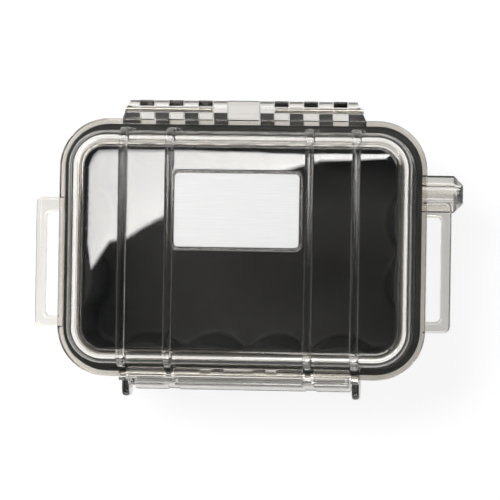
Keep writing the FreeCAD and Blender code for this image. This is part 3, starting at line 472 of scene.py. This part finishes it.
def moulded(name, colour, cloud_colour, roughness, grain_mm, grain_depth_mm, specular=0.5):
    """An opaque moulded skin: one colour, a little cloudy, with a fine matt grain."""
    material, tree = new_material(name)
    place = node(tree, "ShaderNodeTexCoord").outputs["Object"]
    grain = node(tree, "ShaderNodeTexNoise", {"Vector": place, "Scale": 1000 / grain_mm,
                                              "Detail": 2.0})
    cloud = node(tree, "ShaderNodeTexNoise", {"Vector": place, "Scale": 1000 / (20 * grain_mm),
                                              "Detail": 4.0})
    tone = node(tree, "ShaderNodeMixRGB", {"Fac": cloud.outputs["Fac"], "Color1": linear(colour),
                                           "Color2": linear(cloud_colour)})
    dull = node(tree, "ShaderNodeMapRange", {"Value": grain.outputs["Fac"],
                                             "To Min": roughness - 0.08,
                                             "To Max": roughness + 0.08})
    bump = node(tree, "ShaderNodeBump", {"Height": grain.outputs["Fac"], "Strength": 0.6,
                                         "Distance": grain_depth_mm * MM})
    skin = node(tree, "ShaderNodeBsdfPrincipled", {
        "Base Color": tone.outputs[0], "Roughness": dull.outputs[0],
        "Specular IOR Level": specular, "Normal": bump.outputs[0]})
    node(tree, "ShaderNodeOutputMaterial", {"Surface": skin.outputs[0]})
    return material


smooth(liner, sharp_from=40)
liner.data.materials.clear()
liner.data.materials.append(moulded("black_elastomer_moulded", "#1f2122", "#28292a",
                                    roughness=0.62, grain_mm=0.5, grain_depth_mm=0.03,
                                    specular=0.3))
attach(liner, "base")
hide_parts("base_liner")


# Pins: drawn stainless wire, cut to length and pushed through the base's knuckles and the lid's
# ears. Drawing leaves fine lines along the wire, which spread the light into a soft white
# streak. They are drawn coarser than they are.
def worked_metal(name, colours, long_mm, wide_mm, detail, roughness, strength, depth_mm,
                 metallic):
    """A metal worked along X, whose fine lines show in its colour, its gloss and its relief."""
    material, tree = new_material(name)
    place = node(tree, "ShaderNodeTexCoord").outputs["Object"]
    along = node(tree, "ShaderNodeMapping", {
        "Vector": place, "Scale": (1000 / long_mm, 1000 / wide_mm, 1000 / wide_mm)})
    lines = node(tree, "ShaderNodeTexNoise", {"Vector": along.outputs[0], "Scale": 1.0,
                                              "Detail": detail})
    tone = node(tree, "ShaderNodeMixRGB", {"Fac": lines.outputs["Fac"],
                                           "Color1": linear(colours[0]),
                                           "Color2": linear(colours[1])})
    dull = node(tree, "ShaderNodeMapRange", {"Value": lines.outputs["Fac"],
                                             "To Min": roughness[0], "To Max": roughness[1]})
    bump = node(tree, "ShaderNodeBump", {"Height": lines.outputs["Fac"], "Strength": strength,
                                         "Distance": depth_mm * MM})
    skin = node(tree, "ShaderNodeBsdfPrincipled", {
        "Base Color": tone.outputs[0], "Metallic": metallic, "Roughness": dull.outputs[0],
        "Normal": bump.outputs[0]})
    node(tree, "ShaderNodeOutputMaterial", {"Surface": skin.outputs[0]})
    return material


wire = worked_metal("stainless_wire_drawn", ("#dcdad6", "#efeeeb"), long_mm=9, wide_mm=0.12,
                    detail=2.0, roughness=(0.18, 0.24), strength=0.5, depth_mm=0.0006,
                    metallic=1.0)
for name in ("hinge_pin_left", "hinge_pin_right", "latch_pin"):
    dress(name, wire)


# Plate: thin brushed aluminium, glued into its seat and left blank. Its white is painted
# reflection: a satin white skin, not a metal, stands in for the light the bright metal gives back.
# The brushing shows as very faint lines along it, coarser than real ones so that they show.
plate_skin = worked_metal("brushed_aluminium_painted_reflection", ("#e9e9e8", "#f8f8f7"), long_mm=14,
                          wide_mm=0.35, detail=3.0, roughness=(0.32, 0.5), strength=0.3,
                          depth_mm=0.01, metallic=0.0)
dress("name_plate", plate_skin)


# Bead: the rounded edge of the plate's seat, moulded with the lid in clear polycarbonate. It
# stands round the plate and shows as a dark line, because it mirrors away from the softbox.
BEAD_OUT, BEAD_HALF, BEAD_HEIGHT, BEAD_SUNK = 0.75, 0.6, 0.27, 0.02
BEAD_STEPS = 10
PLATE_RADIUS, SEAT_OVER_PLATE = 1.5, 0.2
low, high = (Vector(corner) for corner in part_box("name_plate"))
middle, half = (low + high) / 2, (high - low) / 2
section = [(BEAD_HALF * math.cos(math.pi * k / BEAD_STEPS),
            BEAD_HEIGHT * math.sin(math.pi * k / BEAD_STEPS)) for k in range(BEAD_STEPS + 1)]
section += [(-BEAD_HALF, -BEAD_SUNK), (BEAD_HALF, -BEAD_SUNK)]
corners, faces = [], []
for quarter, (sign_x, sign_y) in enumerate(((1, 1), (-1, 1), (-1, -1), (1, -1))):
    core = Vector((middle.x + sign_x * (half.x - PLATE_RADIUS * MM),
                   middle.y + sign_y * (half.y - PLATE_RADIUS * MM)))
    for step in range(CORNER_STEPS):
        bend = math.radians(90 * quarter + 90 * step / (CORNER_STEPS - 1))
        normal = Vector((math.cos(bend), math.sin(bend)))
        for out, rise in section:
            spot = core + normal * (PLATE_RADIUS + BEAD_OUT + out) * MM
            corners.append((spot.x, spot.y, high.z + (SEAT_OVER_PLATE + rise) * MM))
count = len(section)
for start in range(0, len(corners), count):
    after = (start + count) % len(corners)
    for k in range(count):
        beside = (k + 1) % count
        faces.append((start + k, after + k, after + beside, start + beside))
bead = new_piece("seat_bead", corners, faces)
smooth(bead, sharp_from=50)
bead.data.materials.append(clear)
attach(bead, "lid")


# Valve: a moulded ABS plug and vented cap, pressed into the boss, with a nitrile ring in the
# plug's groove and a film of expanded PTFE, which lets air through and keeps water out. The ABS
# has a low sheen, the nitrile is duller, and the film is a chalky white.
abs_black = moulded("black_abs_moulded", "#17181a", "#1f2022",
                    roughness=0.4, grain_mm=0.3, grain_depth_mm=0.01)
nitrile = moulded("black_nitrile_moulded", "#101112", "#161718",
                  roughness=0.5, grain_mm=0.2, grain_depth_mm=0.005)
film = moulded("white_ptfe_film", "#e6e5e0", "#f2f1ed",
               roughness=0.8, grain_mm=0.15, grain_depth_mm=0.01)
dress("valve_body", abs_black)
dress("valve_cap", abs_black)
dress("valve_o_ring", nitrile)
dress("valve_membrane", film)
